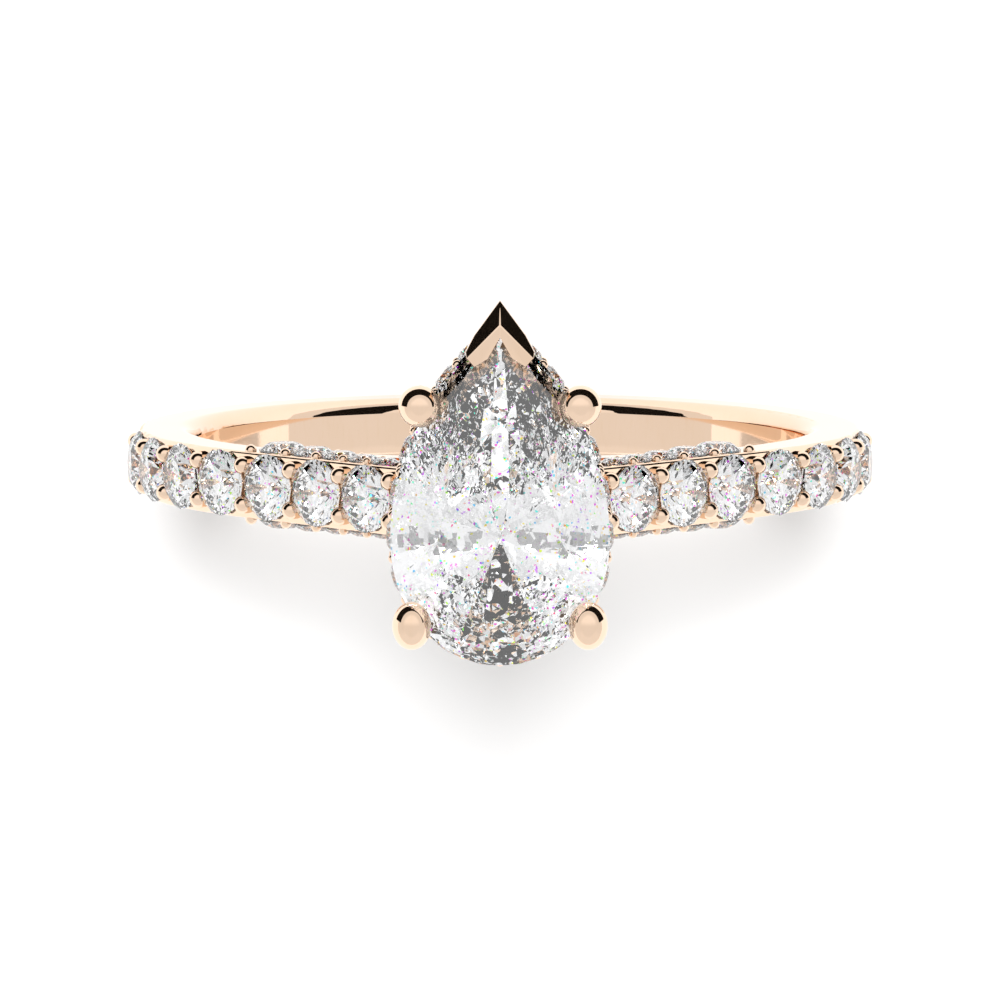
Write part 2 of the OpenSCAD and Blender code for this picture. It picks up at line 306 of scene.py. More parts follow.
class Graph:
    """A small helper that adds nodes to a tree and links them."""

    def __init__(self, tree: bpy.types.NodeTree) -> None:
        """Takes the tree to build in."""
        self.tree = tree

    def add(
        self, kind: str, inputs: dict[str | int, object] | None = None, **settings: object
    ) -> bpy.types.Node:
        """Adds a node.

        Args:
            kind: The node's type.
            inputs: Values or output sockets for its inputs.
            **settings: The node's own properties.

        Returns:
            The node.
        """
        node = self.tree.nodes.new(kind)
        for name, value in settings.items():
            setattr(node, name, value)
        for name, value in (inputs or {}).items():
            if isinstance(value, Socket):
                self.tree.links.new(value, node.inputs[name])
            else:
                node.inputs[name].default_value = value
        return node

    def math(self, operation: str, *values: object) -> Socket:
        """Adds a Math node.

        Args:
            operation: The node's operation.
            *values: Numbers or output sockets for its inputs.

        Returns:
            The node's output.
        """
        return self.add("ShaderNodeMath", dict(enumerate(values)), operation=operation).outputs[0]

    def ramp(self, value: Socket, low: float, high: float) -> Socket:
        """Adds a smooth step.

        Args:
            value: What is stepped.
            low: Where the step is 0.
            high: Where it is 1.

        Returns:
            The step's output.
        """
        inputs = {"Value": value, "From Min": low, "From Max": high}
        return self.add("ShaderNodeMapRange", inputs, interpolation_type="SMOOTHSTEP").outputs["Result"]


@dataclass(frozen=True)
class Polish:
    """What a buffing wheel leaves: hairline scratches and hazier patches."""

    grain: float = 9000.0
    patches: float = 700.0
    stretch: Triple = (1.0, 0.15, 1.0)
    hair: Span = (0.45, 0.75)
    patch: Span = (0.4, 0.7)
    hair_share: float = 0.5

    def group(self) -> bpy.types.NodeTree:
        """Builds the shared node group.

        Returns:
            A group that puts out a haze mask and a height.
        """
        group = bpy.data.node_groups.new("buffed_polish", "ShaderNodeTree")
        for name in ("Grain per metre", "Patches per metre"):
            group.interface.new_socket(name, in_out="INPUT", socket_type="NodeSocketFloat")
        for name in ("Haze", "Height"):
            group.interface.new_socket(name, in_out="OUTPUT", socket_type="NodeSocketFloat")
        graph = Graph(group)
        given = graph.add("NodeGroupInput").outputs
        place = graph.add("ShaderNodeTexCoord").outputs["Object"]
        drawn = graph.add("ShaderNodeMapping", {"Vector": place, "Scale": self.stretch}).outputs[0]
        hair = graph.add(
            "ShaderNodeTexNoise", {"Vector": drawn, "Scale": given[0], "Detail": 3.0, "Roughness": 0.6}
        ).outputs["Fac"]
        patch = graph.add(
            "ShaderNodeTexNoise", {"Vector": place, "Scale": given[1], "Detail": 2.0}
        ).outputs["Fac"]
        fine = graph.math("MULTIPLY", graph.ramp(hair, *self.hair), self.hair_share)
        broad = graph.math("MULTIPLY", graph.ramp(patch, *self.patch), 1 - self.hair_share)
        graph.add("NodeGroupOutput", {0: graph.math("ADD", fine, broad), 1: hair})
        return group


@dataclass(frozen=True)
class RoseGold:
    """Polished rose gold."""

    colour: Colour = (0.95, 0.715, 0.54)
    worn: Colour = (0.93, 0.69, 0.505)
    gloss: float = 0.025
    haze: float = 0.03
    scratch_strength: float = 0.004
    scratch_depth: float = 0.00001
    polish: Polish = Polish()

    def build(self) -> bpy.types.Material:
        """Builds the material.

        Returns:
            The new material.
        """
        material = bpy.data.materials.new("rose_gold_polished")
        material.use_nodes = True
        graph = Graph(material.node_tree)
        shader = material.node_tree.nodes["Principled BSDF"]
        polish = graph.add("ShaderNodeGroup", node_tree=self.polish.group())
        polish.inputs[0].default_value = self.polish.grain
        polish.inputs[1].default_value = self.polish.patches
        haze = polish.outputs["Haze"]
        rough = graph.math("MULTIPLY_ADD", haze, self.haze, self.gloss)
        tint = graph.add("ShaderNodeMix", {0: haze}, data_type="RGBA")
        tint.inputs[6].default_value = (*self.colour, 1.0)
        tint.inputs[7].default_value = (*self.worn, 1.0)
        scratches = {
            "Height": polish.outputs["Height"],
            "Strength": self.scratch_strength,
            "Distance": self.scratch_depth,
        }
        bump = graph.add("ShaderNodeBump", scratches)
        shader.inputs["Metallic"].default_value = 1.0
        links = material.node_tree.links
        links.new(tint.outputs[2], shader.inputs["Base Color"])
        links.new(rough, shader.inputs["Roughness"])
        links.new(bump.outputs[0], shader.inputs["Normal"])
        return material


@dataclass(frozen=True)
class Diamond:
    """Colourless diamond with flat, sharp facets, whose base colour carries painted coloured sparks that
    stand in for the fire that light splits into.
    """

    name: str = "diamond_cut"
    ior: float = 2.417
    tint: Colour = (0.985, 0.99, 1.0)
    painted_fire_grain: float = 20000.0
    painted_fire_share: float = 0.035
    painted_fire_full_share: float = 0.8
    crush: float = 0.0
    crush_grain: float = 3500.0
    crush_ends: Span = (0.0004, 0.0014)
    crush_share: float = 0.3
    crush_below: float = 0.0
    crush_middle: float = 0.0

    def crushed(self, graph: Graph, place: Socket) -> Socket:
        """Breaks the pavilion into small steps, most at its two ends, as crushed ice looks.

        Args:
            graph: The material's graph.
            place: The point on the stone.

        Returns:
            The normal.
        """
        _, y, z = graph.add("ShaderNodeSeparateXYZ", {0: place}).outputs
        off = graph.math("ABSOLUTE", graph.math("SUBTRACT", y, self.crush_middle))
        rise = graph.ramp(off, *self.crush_ends)
        ends = graph.math("MULTIPLY_ADD", rise, 1 - self.crush_share, self.crush_share)
        low = graph.math("LESS_THAN", z, self.crush_below)
        amount = graph.math("MULTIPLY", graph.math("MULTIPLY", ends, low), self.crush)
        grains = graph.add("ShaderNodeTexVoronoi", {"Vector": place, "Scale": self.crush_grain}, feature="F1")
        lean = graph.add(
            "ShaderNodeVectorMath", {0: grains.outputs["Color"], 1: (0.5, 0.5, 0.5)}, operation="SUBTRACT"
        ).outputs[0]
        lean = graph.add("ShaderNodeVectorMath", {0: lean, "Scale": amount}, operation="SCALE").outputs[0]
        flat = graph.add("ShaderNodeNewGeometry").outputs["Normal"]
        total = graph.add("ShaderNodeVectorMath", {0: flat, 1: lean}, operation="ADD").outputs[0]
        return graph.add("ShaderNodeVectorMath", {0: total}, operation="NORMALIZE").outputs[0]

    def build(self) -> bpy.types.Material:
        """Builds the material.

        Returns:
            The new material.
        """
        material = bpy.data.materials.new(self.name)
        material.use_nodes = True
        shader = material.node_tree.nodes["Principled BSDF"]
        graph = Graph(material.node_tree)
        place = graph.add("ShaderNodeTexCoord").outputs["Object"]
        # painted light: rare cells of the base colour get a saturated hue, painted sparks that stand in for
        # the diamond's fire
        cells = graph.add("ShaderNodeTexVoronoi", {"Vector": place, "Scale": self.painted_fire_grain}, feature="F1")
        hue, chance, _ = graph.add("ShaderNodeSeparateColor", {0: cells.outputs["Color"]}).outputs
        painted_fire_colour = graph.add("ShaderNodeCombineColor", {0: hue, 1: 1.0, 2: 1.0}, mode="HSV").outputs[0]
        amount = graph.ramp(chance, 1 - self.painted_fire_share, 1 - self.painted_fire_share * self.painted_fire_full_share)
        mixed = graph.add("ShaderNodeMix", {0: amount, 7: painted_fire_colour}, data_type="RGBA")
        mixed.inputs[6].default_value = (*self.tint, 1.0)
        material.node_tree.links.new(mixed.outputs[2], shader.inputs["Base Color"])
        shader.inputs["Roughness"].default_value = 0.0
        shader.inputs["IOR"].default_value = self.ior
        shader.inputs["Transmission Weight"].default_value = 1.0
        if self.crush:
            material.node_tree.links.new(self.crushed(graph, place), shader.inputs["Normal"])
        return material


@dataclass(frozen=True)
class Paper:
    """Matt white paper for the floor."""

    colour: Colour = (0.82, 0.82, 0.82)

    def build(self) -> bpy.types.Material:
        """Builds the material.

        Returns:
            The new material.
        """
        material = bpy.data.materials.new("white_paper")
        material.use_nodes = True
        shader = material.node_tree.nodes["Principled BSDF"]
        shader.inputs["Base Color"].default_value = (*self.colour, 1.0)
        shader.inputs["Roughness"].default_value = 1.0
        shader.inputs["Specular IOR Level"].default_value = 0.0
        return material


# -------------------------------------------------------------------- pieces


@dataclass
class PearOutline:
    """The pear's girdle seen from above: an arc on each side of the tip, half an ellipse below."""

    half_width: float
    tip: float
    belly: float
    culet: Vector
    step: float = 0.002

    def radius(self, angle: float) -> float:
        """Measures from the culet's axis to the girdle.

        Args:
            angle: The direction, in radians.

        Returns:
            The distance, in millimetres.
        """
        c, s = abs(math.cos(angle)), math.sin(angle)
        w, t, b = self.half_width, self.tip, self.belly
        if s < 0:
            return w * b / math.hypot(b * c, w * s)
        arc = (w * w + t * t) / (2 * w)
        m = w - arc
        return c * m + math.sqrt(c * c * m * m + arc * arc - m * m)

    def point(self, angle: float, share: float = 1.0) -> Vector:
        """Finds a point of the outline, or of the same outline drawn smaller.

        Args:
            angle: Its direction from the culet, in radians.
            share: How far out it is, with the girdle at 1.

        Returns:
            The point, about the culet.
        """
        r = self.radius(angle) * share
        return Vector((r * math.cos(angle), r * math.sin(angle), 0))

    def normal(self, angle: float) -> Vector:
        """Finds the outline's outward direction.

        Args:
            angle: The direction from the culet, in radians.

        Returns:
            The unit normal.
        """
        along = self.point(angle + self.step) - self.point(angle - self.step)
        return Vector((along.y, -along.x, 0)).normalized()


@dataclass
class CentreStone:
    """The pear-cut stone, ground from a block like a lapidary grinds it."""

    table: float = 0.57
    crown: float = 0.145
    girdle: float = 0.03
    pavilion: float = 0.43
    belly_share: float = 3.03 / 8.25
    mains: int = 8
    girdle_flats: int = 72
    star_height: float = 0.56
    lower_half: float = 0.2
    half_places: Span = (0.25, 0.75)
    breaks: int = 32
    break_reach: float = 0.62
    stock_margin: float = 1.0
    outline: PearOutline = field(init=False)
    girdle_z: float = field(init=False)

    def __post_init__(self) -> None:
        """Reads the stone's size and place from its CAD node."""
        low, high = millimetre_box("centre_stone")
        width, length = high.x - low.x, high.y - low.y
        belly = length * self.belly_share
        self.girdle_z = high.z - (self.crown + self.girdle / 2) * width
        culet = Vector((0, low.y + belly, self.girdle_z))
        self.outline = PearOutline(width / 2, length - belly, belly, culet)

    def line(self, angle: float, z: float) -> tuple[Vector, Vector]:
        """Finds where the girdle is at an angle and which way it faces.

        Args:
            angle: The direction from the culet, in radians.
            z: The height that the point is given.

        Returns:
            The point and the outward direction.
        """
        return self.outline.point(angle) + Vector((0, 0, z)), self.outline.normal(angle)

    def flat(self, angle: float, z: float, through: Vector) -> Cut:
        """Gives the flat that rests on the girdle's edge at an angle and passes through a point.

        Args:
            angle: Where it touches the girdle, in radians.
            z: The height of the girdle's edge.
            through: The other point on the flat.

        Returns:
            The cut, about the culet's axis.
        """
        edge, out = self.line(angle, z)
        run, rise = (edge - through).dot(out), through.z - z
        normal = Vector((out.x * abs(rise), out.y * abs(rise), run * math.copysign(1, rise)))
        return Cut(edge, normal.normalized())

    @staticmethod
    def meet(one: Cut, other: Cut, z: float) -> Vector:
        """Finds the point at a height where two flats meet.

        Args:
            one: The first flat.
            other: The second flat.
            z: The height.

        Returns:
            The point.
        """
        a, b = one.normal, other.normal
        p = a.dot(one.point) - a.z * z
        q = b.dot(other.point) - b.z * z
        det = a.x * b.y - a.y * b.x
        return Vector(((p * b.y - q * a.y) / det, (a.x * q - b.x * p) / det, z))

    def half_facets(self, z: float, meets: Sequence[Vector]) -> list[Cut]:
        """Lays out the two half facets that lie beside each ridge between main facets.

        Args:
            z: The height of the girdle's edge.
            meets: The point where each pair of half facets ends.

        Returns:
            The cuts.
        """
        step = 2 * math.pi / self.mains
        return [
            self.flat(math.pi / 2 + step * (k + place), z, meet)
            for k, meet in enumerate(meets)
            for place in self.half_places
        ]

    def crown_cuts(self) -> list[Cut]:
        """Lays out the table, bezel, star and upper half facets.

        Returns:
            The cuts.
        """
        width = 2 * self.outline.half_width
        edge, top = self.girdle * width / 2, (self.girdle / 2 + self.crown) * width
        step = 2 * math.pi / self.mains
        angles = [math.pi / 2 + step * k for k in range(self.mains)]
        corners = [self.outline.point(a, self.table) + Vector((0, 0, top)) for a in angles]
        bezels = [self.flat(a, edge, c) for a, c in zip(angles, corners)]
        tip_z = edge + (top - edge) * self.star_height
        tips = [self.meet(bezels[k], bezels[(k + 1) % self.mains], tip_z) for k in range(self.mains)]
        stars = []
        for k in range(self.mains):
            one, two = corners[k], corners[(k + 1) % self.mains]
            normal = (two - one).cross(tips[k] - one).normalized()
            stars.append(Cut(one, normal if normal.z > 0 else -normal))
        table = Cut(Vector((0, 0, top)), Vector((0, 0, 1)))
        return [table, *bezels, *stars, *self.half_facets(edge, tips)]

    def pavilion_cuts(self) -> list[Cut]:
        """Lays out the pavilion's main, lower half and break facets.

        Returns:
            The cuts.
        """
        width = 2 * self.outline.half_width
        edge = -self.girdle * width / 2
        culet = Vector((0, 0, edge - self.pavilion * width))
        step = 2 * math.pi / self.mains
        mains = [self.flat(math.pi / 2 + step * k, edge, culet) for k in range(self.mains)]
        low_z = edge + (culet.z - edge) * (1 - self.lower_half)
        ridges = [self.meet(mains[k], mains[(k + 1) % self.mains], low_z) for k in range(self.mains)]
        halves = self.half_facets(edge, ridges)
        return [*mains, *halves, *self.break_facets(edge, [*mains, *halves])]

    def break_facets(self, edge: float, cuts: Sequence[Cut]) -> list[Cut]:
        """Lays out small facets along the girdle that break up the long ones.

        Args:
            edge: The height of the girdle's lower edge.
            cuts: The facets made so far.

        Returns:
            The cuts.
        """
        made = []
        step = 2 * math.pi / self.breaks
        for k in range(self.breaks):
            a = math.pi / 2 + step * (k + 0.5)
            at = self.outline.point(a, self.break_reach)
            depth = max(self.height(c, at) for c in cuts)
            made.append(self.flat(a, edge, Vector((at.x, at.y, depth))))
        return made

    @staticmethod
    def height(cut: Cut, at: Vector) -> float:
        """Measures the height of a flat over a point of the ground plan.

        Args:
            cut: The flat.
            at: The point.

        Returns:
            The height.
        """
        n, p = cut.normal, cut.point
        return p.z - (n.x * (at.x - p.x) + n.y * (at.y - p.y)) / n.z

    def cut(self) -> bpy.types.Object:
        """Cuts the stone.

        Returns:
            The stone in its place, in millimetres.
        """
        w, centre = self.outline.half_width, self.outline.culet
        reach = Vector((w + self.stock_margin, self.outline.tip + self.stock_margin, w))
        stone = block("pear_stone", -reach, reach)
        walls = [
            Cut(self.outline.point(a), self.outline.normal(a))
            for a in (2 * math.pi * (k + 0.5) / self.girdle_flats for k in range(self.girdle_flats))
        ]
        grind(stone, [*walls, *self.crown_cuts(), *self.pavilion_cuts()])
        stone.location = centre
        activate(stone)
        bpy.ops.object.transform_apply(location=True, rotation=False, scale=False)
        outward(stone)
        return stone


@dataclass
class Claws:
    """The four claws, each drawn from the base rail and rounded over the stone's edge."""

    wire_d: float = 0.79
    tip_d: float = 1.02
    foot_rise: float = 0.15
    wire_places: tuple[float, ...] = (0.25, 0.5, 0.75)
    wire_end: float = 1.2
    neck: tuple[Span, ...] = ((1.25, 1.0), (1.05, 1.02), (0.85, 1.07))
    dome_start: float = -38.0
    dome_sweep: float = 127.0
    dome_rings: int = 18
    sides: int = 56
    point: float = 1.14
    point_steps: int = 4
    names: tuple[str, ...] = ("claw_upper_left", "claw_upper_right", "claw_lower_left", "claw_lower_right")

    def ends(self, node: str) -> tuple[Vector, Vector]:
        """Reads where the wire stands from its CAD node's box.

        Args:
            node: The CAD node's name.

        Returns:
            The wire's foot and the middle of its rounded tip.
        """
        low, high = millimetre_box(node)
        left = low.x + high.x < 0
        upper = node.startswith("claw_upper")
        r, tip_r = self.wire_d / 2, self.tip_d / 2
        foot_x, tip_x = (high.x - r, low.x + tip_r) if left else (low.x + r, high.x - tip_r)
        foot_y, tip_y = (low.y + r, high.y - tip_r) if upper else (high.y - r, low.y + tip_r)
        return Vector((foot_x, foot_y, low.z + self.foot_rise)), Vector((tip_x, tip_y, high.z - tip_r))

    def draw_out(self, claw: bpy.types.Object, tip: Vector) -> None:
        """Draws the tip's outer side out to a blunt point, away from the stone.

        Args:
            claw: The claw, in millimetres.
            tip: The middle of its rounded tip.
        """
        away = Vector((0, -1, 0))
        activate(claw)
        reach = self.tip_d / 2
        stretch = 1 + (self.point - 1) / self.point_steps
        pinch = 1 - (self.point - 1) / (2 * self.point_steps)
        for step in range(self.point_steps):
            start = reach * step / (self.point_steps + 1)
            bpy.ops.object.mode_set(mode="OBJECT")
            for vertex in claw.data.vertices:
                off = vertex.co - tip
                vertex.select = off.dot(away) > start and abs(off.z) < reach
            bpy.ops.object.mode_set(mode="EDIT")
            bpy.ops.mesh.select_mode(type="VERT")
            bpy.ops.transform.resize(value=(pinch, stretch, 1), center_override=tip + away * start)
        bpy.ops.object.mode_set(mode="OBJECT")

    def draw(self, node: str, stone: bpy.types.Object) -> bpy.types.Object:
        """Draws one claw and cuts the stone's notch into it.

        Args:
            node: The CAD node that it stands for.
            stone: The stone, in millimetres, that it holds.

        Returns:
            The claw, in millimetres.
        """
        foot, tip = self.ends(node)
        axis = (tip - foot).normalized()
        length = (tip - foot).length
        r, tip_r = self.wire_d / 2, self.tip_d / 2
        straight = length - self.wire_end * tip_r
        stations = [Station(foot, r)]
        stations += [Station(foot + axis * straight * place, r) for place in self.wire_places]
        stations += [Station(tip - axis * tip_r * back, r * swell) for back, swell in self.neck]
        for k in range(self.dome_rings):
            a = math.radians(self.dome_start + self.dome_sweep * k / (self.dome_rings - 1))
            stations.append(Station(tip + axis * tip_r * math.sin(a), tip_r * math.cos(a)))
        claw = draw_wire("new_" + node, stations, axis, self.sides)
        if node.startswith("claw_lower"):
            self.draw_out(claw, tip)
        carve(claw, bur(stone))
        outward(claw, 0.0005)
        return claw


@dataclass
class VProng:
    """The V-shaped prong over the tip: a creased cap on a post."""

    outline: tuple[Span, ...] = (
        (0.0, 0.03),
        (0.62, -0.8),
        (0.83, -1.19),
        (0.81, -1.32),
        (0.61, -1.54),
        (0.29, -1.35),
        (0.0, -0.84),
    )
    cap_low: float = 1.0
    crease: float = 0.54
    crease_angle: float = 45.0
    outer_slope: float = 47.0
    inner_angle: float = 33.5
    inner_slope: float = 18.0
    stock: Triple = (1.5, 2.5, 0.5)
    rounding: float = 0.025
    rounding_steps: int = 5
    rounding_angle: float = 14.0
    post_d: float = 0.89
    post_sides: int = 48
    post_places: tuple[float, ...] = (0, 0.3, 0.6, 0.85, 1)
    foot_in: float = 0.02
    foot_rise: float = 0.18
    top_in: float = 0.45
    top_rise: float = 0.12

    def cap(self) -> bpy.types.Object:
        """Grinds one half of the cap, mirrors it and rounds its edges.

        Returns:
            The cap, in millimetres.
        """
        _, high = millimetre_box("v_prong")
        apex = Vector((0, high.y, high.z))
        across, below, above = self.stock
        stock_low = Vector((0, apex.y - below, apex.z - self.cap_low))
        half = block("v_cap", stock_low, Vector((across, apex.y + above, apex.z)))
        corners = [Vector((x, y, 0)) for x, y in self.outline]
        cuts = []
        for one, two in zip(corners, corners[1:]):
            side = two - one
            cuts.append(Cut(apex + one, Vector((-side.y, side.x, 0)).normalized()))
        ridge = apex - Vector((0, self.crease, 0))
        slopes = ((self.crease_angle, self.outer_slope), (self.inner_angle + 180, self.inner_slope))
        for angle, slope in slopes:
            a, t = math.radians(angle), math.radians(slope)
            normal = Vector((math.cos(a) * math.sin(t), math.sin(a) * math.sin(t), math.cos(t)))
            cuts.append(Cut(ridge, normal))
        grind(half, cuts)
        self.open_middle(half)
        apply_modifier(half, "MIRROR", use_clip=True, merge_threshold=0.001)
        outward(half, 0.0005)
        activate(half)
        bpy.ops.object.mode_set(mode="EDIT")
        bpy.ops.mesh.select_all(action="SELECT")
        bpy.ops.mesh.dissolve_limited(angle_limit=math.radians(1))
        bpy.ops.object.mode_set(mode="OBJECT")
        apply_modifier(
            half,
            "BEVEL",
            width=self.rounding,
            segments=self.rounding_steps,
            angle_limit=math.radians(self.rounding_angle),
        )
        return half

    @staticmethod
    def open_middle(half: bpy.types.Object) -> None:
        """Takes the wall on the middle plane off one half, so that the mirrored halves become one.

        Args:
            half: The half, in millimetres.
        """
        activate(half)
        bpy.ops.object.mode_set(mode="EDIT")
        bpy.ops.mesh.select_mode(type="FACE")
        bpy.ops.mesh.select_all(action="DESELECT")
        bpy.ops.object.mode_set(mode="OBJECT")
        for face in half.data.polygons:
            face.select = abs(face.center.x) < 0.0001 and abs(face.normal.x) > 0.9
        bpy.ops.object.mode_set(mode="EDIT")
        bpy.ops.mesh.delete(type="ONLY_FACE")
        bpy.ops.object.mode_set(mode="OBJECT")

    def draw(self, stone: bpy.types.Object) -> bpy.types.Object:
        """Makes the whole prong.

        Args:
            stone: The stone, in millimetres, that it holds.

        Returns:
            The prong, in millimetres.
        """
        low, high = millimetre_box("v_prong")
        cap = self.cap()
        r = self.post_d / 2
        foot = Vector((0, low.y + r + self.foot_in, low.z + self.foot_rise))
        top = Vector((0, high.y - self.top_in - r, high.z - self.cap_low + self.top_rise))
        axis = (top - foot).normalized()
        stations = [Station(foot.lerp(top, place), r) for place in self.post_places]
        post = draw_wire("v_post", stations, axis, self.post_sides)
        carve(cap, post, "UNION")
        carve(cap, bur(stone))
        outward(cap, 0.0005)
        cap.name = "new_v_prong"
        return cap


@dataclass
class Ring:
    """The whole ring: new head pieces, and the CAD nodes with their finishes."""

    smooth_angle: float = 30.0
    crush: float = 0.12

    def dress(self, piece: bpy.types.Object, material: bpy.types.Material) -> None:
        """Gives a piece one material in every slot.

        Args:
            piece: The object to dress.
            material: Its material.
        """
        if not piece.data.materials:
            piece.data.materials.append(material)
        for slot in piece.material_slots:
            slot.material = material

    def settle(self, piece: bpy.types.Object, slot: Slot, *nodes: str) -> None:
        """Brings a new piece to real size and makes it stand for its CAD nodes.

        Args:
            piece: The piece, in millimetres.
            slot: Its material slot.
            *nodes: The CAD nodes that it stands for.
        """
        to_metres(piece)
        if slot is Slot.GOLD:
            activate(piece)
            bpy.ops.object.shade_smooth_by_angle(angle=math.radians(self.smooth_angle))
        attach(piece, "root")
        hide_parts(*nodes)
        LOG.info("%s: %d faces", piece.name, len(piece.data.polygons))

    def build(self) -> None:
        """Builds and dresses every piece."""
        gold, diamond = RoseGold().build(), Diamond().build()
        pear = CentreStone()
        crushed = Diamond(
            name="diamond_crushed_ice",
            crush=self.crush,
            crush_below=(pear.girdle_z - pear.girdle * pear.outline.half_width) * MM,
            crush_middle=pear.outline.culet.y * MM,
        ).build()
        stone = pear.cut()
        claws = Claws()
        made = [(claws.draw(name, stone), name) for name in claws.names]
        prong = VProng().draw(stone)
        for piece, node in [*made, (prong, "v_prong")]:
            self.dress(piece, gold)
            self.settle(piece, Slot.GOLD, node)
        self.dress(stone, crushed)
        self.settle(stone, Slot.STONE, "centre_stone")
        for name, node in frame["nodes"].items():
            self.dress(node, diamond if "stone" in name else gold)


# -------------------------------------------------------------------- studio


@dataclass(frozen=True)
class GlowShell:
    """A shell that glows a little, cell by cell: painted light, no lamp, seen only through the centre stone.
    """

    grain: float = 3200.0
    dark: float = 0.8
    light: float = 1.5

    def build(self) -> bpy.types.Material:
        """Builds the material.

        Returns:
            The new material.
        """
        material = bpy.data.materials.new("painted_glow_shell")
        material.use_nodes = True
        shader = material.node_tree.nodes["Principled BSDF"]
        graph = Graph(material.node_tree)
        place = graph.add("ShaderNodeTexCoord").outputs["Object"]
        cells = graph.add("ShaderNodeTexVoronoi", {"Vector": place, "Scale": self.grain}, feature="F1")
        chance = graph.add("ShaderNodeSeparateColor", {0: cells.outputs["Color"]}).outputs[1]
        # painted light: each cell glows between these two levels, standing in for light coming up through the
        # pavilion
        glow = graph.math("MULTIPLY_ADD", chance, self.light - self.dark, self.dark)
        shader.inputs["Base Color"].default_value = (0, 0, 0, 1)
        shader.inputs["Specular IOR Level"].default_value = 0.0
        shader.inputs["Emission Color"].default_value = (1, 1, 1, 1)
        material.node_tree.links.new(glow, shader.inputs["Emission Strength"])
        return material


@dataclass
class Studio:
    """Floor, lights, world and camera."""

    camera_tilt: float = 5.8
    camera_distance: float = 0.12
    aim: float = -0.0012
    lens: float = 160.0
    floor_side: float = 3.0
    fill: float = 0.86
    back_box: float = 0.2
    back_height: Span = (0.5, 0.75)
    back_reach: Span = (-0.05, 0.4)
    front_box: float = 0.06
    front_height: tuple[float, ...] = (-0.1, 0.0, 0.6, 0.8)
    front_reach: Span = (0.2, 0.7)
    gobo_depth: float = 0.65
    gobo_disc: Span = (0.968, 0.976)
    gobo_low: tuple[float, ...] = (0.2, 0.25, 0.5, 0.55)
    gobo_sides: Span = (0.8, 0.82)
    card_radius: float = 0.028
    card_low: float = 0.001
    card_high: float = 0.022
    card_reach: float = 85.0
    card_colour: Colour = (0.01, 0.009, 0.008)
    card_steps: int = 96
    glow_start: float = 0.125
    glow_gap: float = 1.0015
    key_tilt: float = 15.0
    key_angle: float = 14.0
    key_strength: float = 1.9

    def floor(self) -> None:
        """Lays the paper under the ring's lowest point."""
        deselect()
        bpy.ops.mesh.primitive_plane_add(size=self.floor_side, location=(0, 0, CAD_BOX[0].z))
        sheet = bpy.context.object
        sheet.name = "floor"
        bpy.ops.object.transform_apply(location=True, rotation=True, scale=True)
        sheet.data.materials.append(Paper().build())

    def camera(self) -> None:
        """Places the camera above the ring, leaning a little towards the stone's tip."""
        data = bpy.data.cameras.new("camera")
        data.lens = self.lens
        data.clip_start, data.clip_end = 0.001, 10.0
        camera = bpy.data.objects.new("camera", data)
        bpy.context.scene.collection.objects.link(camera)
        tilt = math.radians(self.camera_tilt)
        camera.location = Vector((0, math.sin(tilt), math.cos(tilt))) * self.camera_distance
        look = Vector((0, self.aim, 0)) - camera.location
        right = Vector((1, 0, 0))
        back = -look.normalized()
        up = back.cross(right)
        camera.rotation_mode = "QUATERNION"
        camera.rotation_quaternion = Matrix((right, up, back)).transposed().to_quaternion()
        bpy.context.scene.camera = camera

    def key(self) -> None:
        """Hangs the main light behind the ring, so that the shadow falls to the front."""
        data = bpy.data.lights.new("key", "SUN")
        data.energy = self.key_strength
        data.angle = math.radians(self.key_angle)
        light = bpy.data.objects.new("key", data)
        light.rotation_euler = (-math.radians(self.key_tilt), 0, 0)
        light.visible_glossy = False
        bpy.context.scene.collection.objects.link(light)

    @staticmethod
    def window(graph: Graph, value: Socket, *edges: float) -> Socket:
        """Adds a mask that rises between the first two edges and falls between the last two.

        Args:
            graph: The graph to add to.
            value: What is masked.
            *edges: The four edges, in rising order.

        Returns:
            The mask.
        """
        fall = graph.math("SUBTRACT", 1.0, graph.ramp(value, edges[2], edges[3]))
        return graph.math("MULTIPLY", graph.ramp(value, edges[0], edges[1]), fall)

    def gobo(self, graph: Graph, x: Socket, z: Socket) -> Socket:
        """Adds the dark shapes that are seen only through stones: a disc overhead and low cards.

        Args:
            graph: The world's graph.
            x: How far a direction points sideways.
            z: How far it points up.

        Returns:
            How dark each direction is.
        """
        disc = graph.ramp(z, *self.gobo_disc)
        low = self.window(graph, z, *self.gobo_low)
        sides = graph.ramp(graph.math("ABSOLUTE", x), *self.gobo_sides)
        sides = graph.math("MULTIPLY", low, sides)
        shapes = graph.math("MAXIMUM", disc, sides)
        return graph.math("MULTIPLY", shapes, self.gobo_depth)

    def card(self) -> None:
        """Stands a curved black card behind the ring, which shows only in reflections."""
        deselect()
        bpy.ops.mesh.primitive_cylinder_add(
            vertices=self.card_steps,
            radius=self.card_radius,
            depth=self.card_high - self.card_low,
            end_fill_type="NOTHING",
            location=(0, 0, (self.card_low + self.card_high) / 2),
        )
        card = bpy.context.object
        card.name = "black_card"
        bpy.ops.object.mode_set(mode="EDIT")
        bpy.ops.mesh.select_all(action="SELECT")
        cut_y = self.card_radius * math.cos(math.radians(self.card_reach))
        bpy.ops.mesh.bisect(plane_co=(0, cut_y, 0), plane_no=(0, -1, 0), clear_outer=True, threshold=1e-6)
        bpy.ops.object.mode_set(mode="OBJECT")
        bpy.ops.object.transform_apply(location=True, rotation=True, scale=True)
        material = bpy.data.materials.new("black_felt")
        material.use_nodes = True
        shader = material.node_tree.nodes["Principled BSDF"]
        shader.inputs["Base Color"].default_value = (*self.card_colour, 1)
        shader.inputs["Roughness"].default_value = 1.0
        shader.inputs["Specular IOR Level"].default_value = 0.0
        card.data.materials.append(material)
        card.visible_camera = False
        card.visible_diffuse = False
        card.visible_transmission = False
        card.visible_shadow = False

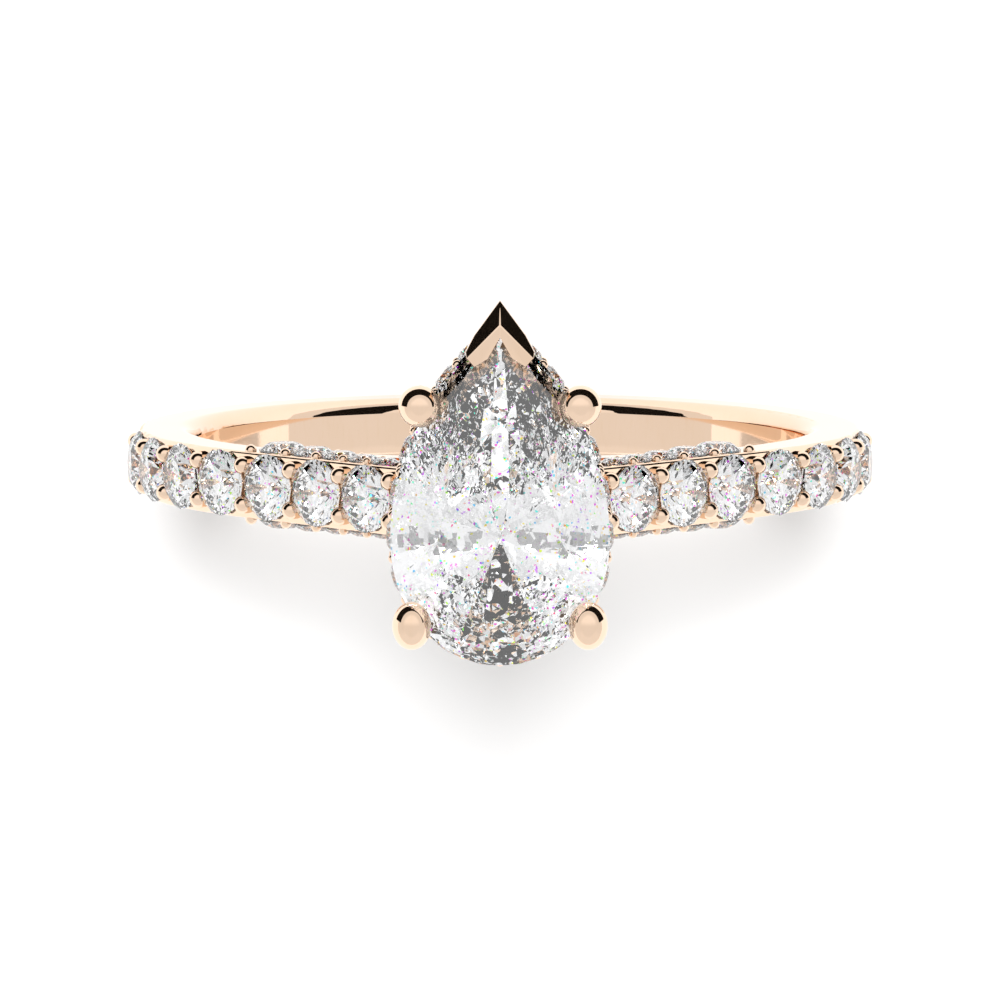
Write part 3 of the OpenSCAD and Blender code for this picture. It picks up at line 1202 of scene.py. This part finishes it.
    def glow_shell(self) -> None:
        """Wraps the centre stone's underside in a glowing shell, seen only by light that passed a stone:
        painted light that brightens the stone from below.
        """
        stone = bpy.context.scene.objects["pear_stone"]
        low, high = stone.bound_box[0], stone.bound_box[6]
        width = high[0] - low[0]
        top = high[2] - self.glow_start * width
        glow_shell = copy_of(stone, "glow_shell")
        for key in list(glow_shell.keys()):
            del glow_shell[key]
        glow_shell.data.materials.clear()
        glow_shell.data.materials.append(GlowShell().build())
        activate(glow_shell)
        bpy.ops.object.mode_set(mode="EDIT")
        bpy.ops.mesh.select_all(action="SELECT")
        bpy.ops.mesh.bisect(plane_co=(0, 0, top), plane_no=(0, 0, 1), clear_outer=True, threshold=1e-7)
        bpy.ops.mesh.select_all(action="SELECT")
        middle = Vector((0, (low[1] + high[1]) / 2, top))
        bpy.ops.transform.resize(value=(self.glow_gap,) * 3, center_override=middle)
        bpy.ops.object.mode_set(mode="OBJECT")
        glow_shell.visible_camera = False
        glow_shell.visible_diffuse = False
        glow_shell.visible_glossy = False
        glow_shell.visible_shadow = False

    def world(self) -> None:
        """Surrounds the ring with white, brighter behind above the card and low in front."""
        world = bpy.data.worlds.new("studio")
        bpy.context.scene.world = world
        world.use_nodes = True
        graph = Graph(world.node_tree)
        way = graph.add("ShaderNodeTexCoord").outputs["Generated"]
        x, y, z = graph.add("ShaderNodeSeparateXYZ", {0: way}).outputs
        level = graph.math("SQRT", graph.math("SUBTRACT", 1.0, graph.math("MULTIPLY", z, z)))
        ahead = graph.math("DIVIDE", y, graph.math("MAXIMUM", level, 0.001))
        back = graph.math("MULTIPLY", graph.ramp(z, *self.back_height), graph.ramp(y, *self.back_reach))
        nearer = graph.ramp(graph.math("MULTIPLY", ahead, -1.0), *self.front_reach)
        front = graph.math("MULTIPLY", self.window(graph, z, *self.front_height), nearer)
        paths = graph.add("ShaderNodeLightPath")
        back = graph.math("MULTIPLY", back, self.back_box)
        front = graph.math("MULTIPLY", front, self.front_box)
        strength = graph.math("ADD", graph.math("ADD", back, front), self.fill)
        strength = graph.math("MAXIMUM", strength, paths.outputs["Is Camera Ray"])
        through = graph.math("MULTIPLY", self.gobo(graph, x, z), paths.outputs["Is Transmission Ray"])
        strength = graph.math("MULTIPLY", strength, graph.math("SUBTRACT", 1.0, through))
        background = world.node_tree.nodes["Background"]
        background.inputs["Color"].default_value = (1, 1, 1, 1)
        world.node_tree.links.new(strength, background.inputs["Strength"])

    def look(self) -> None:
        """Sets how light is followed and shown."""
        scene = bpy.context.scene
        scene.view_settings.view_transform = "Standard"
        cycles = scene.cycles
        cycles.max_bounces = 20
        cycles.transmission_bounces = 16
        cycles.glossy_bounces = 8
        cycles.diffuse_bounces = 3
        cycles.sample_clamp_indirect = 6.0
        cycles.use_denoising = True

    def build(self) -> None:
        """Sets up the whole studio."""
        self.floor()
        self.camera()
        self.key()
        self.card()
        self.glow_shell()
        self.world()
        self.look()


def main() -> None:
    """Builds the ring and the studio."""
    logging.basicConfig(level=logging.INFO, format="%(name)s %(message)s")
    Ring().build()
    Studio().build()


if __name__ == "__main__":
    main()
